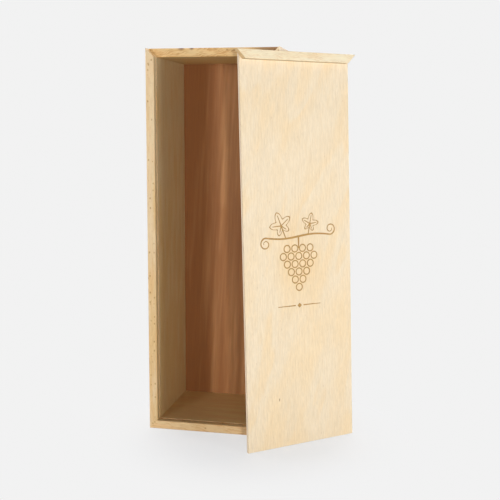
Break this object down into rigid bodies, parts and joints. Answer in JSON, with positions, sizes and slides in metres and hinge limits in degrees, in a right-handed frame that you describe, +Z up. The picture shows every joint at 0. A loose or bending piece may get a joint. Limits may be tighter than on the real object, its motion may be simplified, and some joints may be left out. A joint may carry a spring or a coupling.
{
  "type": "wine box",
  "caption": "Tall wooden wine box with an open front, mitred beech boards and a plywood back; its engraved sliding lid stands in front and leans on it.",
  "frame": {"origin": "centre of the underside of the box, on the surface that it stands on", "axes": "+Z up along the height of the box, and the open front faces -Y"},
  "size_m": [0.1968, 0.1569, 0.366],
  "materials": {
    "beech": "satin",
    "strip_beech": "satin",
    "back_plywood": "satin",
    "lid_plywood": "satin"
  },
  "bodies": {
    "box": {"left_side": "beech", "right_side": "beech", "top_end": "beech", "bottom_end": "beech", "back_panel": "back_plywood"},
    "lid": {"lid_panel": "lid_plywood", "lid_strip": "strip_beech"}
  },
  "joints": [
    {"name": "lid_slide", "type": "slide", "parent": "box", "child": "lid", "axis": [-0.0387, 0.045, 0.9982], "range_m": [0, 0.36]}
  ]
}
